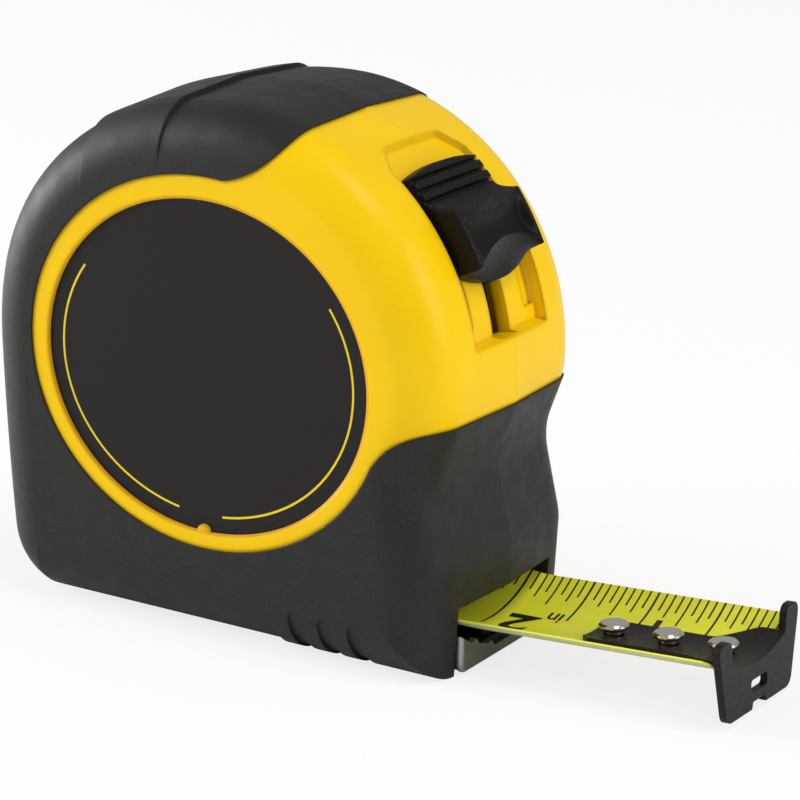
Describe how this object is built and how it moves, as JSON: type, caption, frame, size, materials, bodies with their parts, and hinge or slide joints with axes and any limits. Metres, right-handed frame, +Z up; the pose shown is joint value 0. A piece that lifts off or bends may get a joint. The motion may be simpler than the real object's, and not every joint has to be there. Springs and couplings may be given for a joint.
{
  "type": "pocket tape measure",
  "caption": "Pocket tape measure with an armoured case, spring reel, cupped steel blade, sliding end hook and thumb lock.",
  "frame": {"origin": "on the base plane, under the reel axis, in the plane of the case seam", "axes": "+X the way the blade leaves the case, +Z up from the flat base, -Y the labelled side"},
  "size_m": [0.1439, 0.0545, 0.0951],
  "materials": {
    "yellow_abs": "semi-gloss moulded yellow",
    "black_rubber": "fine matt texture",
    "label_black": "satin film",
    "plate_steel": "satin",
    "pin_steel": "turned",
    "screw_steel": "zinc plated",
    "clip_steel": "satin",
    "drum_plastic": "moulded",
    "blade_yellow": "clear coated",
    "spring_steel": "rolled strip",
    "rivet_nickel": "nickel plated",
    "hook_black": "satin black",
    "button_black": "fine grain"
  },
  "bodies": {
    "case": {"housing_left": "yellow_abs", "housing_right": "yellow_abs", "grip_left": "black_rubber", "grip_right": "black_rubber", "label_disc": "label_black", "mouth_plate": "plate_steel", "centre_post": "pin_steel", "thrust_washers": "pin_steel", "case_screws": "screw_steel", "belt_clip": "clip_steel", "clip_screw": "screw_steel"},
    "reel": {"reel_drum": "drum_plastic", "drum_cover": "drum_plastic", "blade_coil": "blade_yellow", "return_spring": "spring_steel"},
    "blade": {"blade": "blade_yellow", "hook_rivets": "rivet_nickel"},
    "hook": {"end_hook": "hook_black"},
    "lock": {"lock_button": "button_black", "lock_lever": "button_black", "lock_pad": "black_rubber"}
  },
  "joints": [
    {"name": "reel_spin", "type": "hinge", "parent": "case", "child": "reel", "pos_m": [0, 0, 0.0498], "axis": [0, 1, 0], "range_deg": [-47, 72]},
    {"name": "blade_slide", "type": "slide", "parent": "case", "child": "blade", "axis": [0.9997, 0, 0.0244], "range_m": [-0.0455, 0.03]},
    {"name": "hook_play", "type": "slide", "parent": "blade", "child": "hook", "axis": [0.9983, 0, 0.0577], "range_m": [-0.0005, 0.0005]},
    {"name": "lock_slide", "type": "hinge", "parent": "case", "child": "lock", "pos_m": [0, 0, 0.0498], "axis": [0, 1, 0], "range_deg": [0, 11]}
  ],
  "couplings": [
    {"joint": "blade_slide", "follows": "reel_spin", "m_per_rad": -0.036}
  ]
}
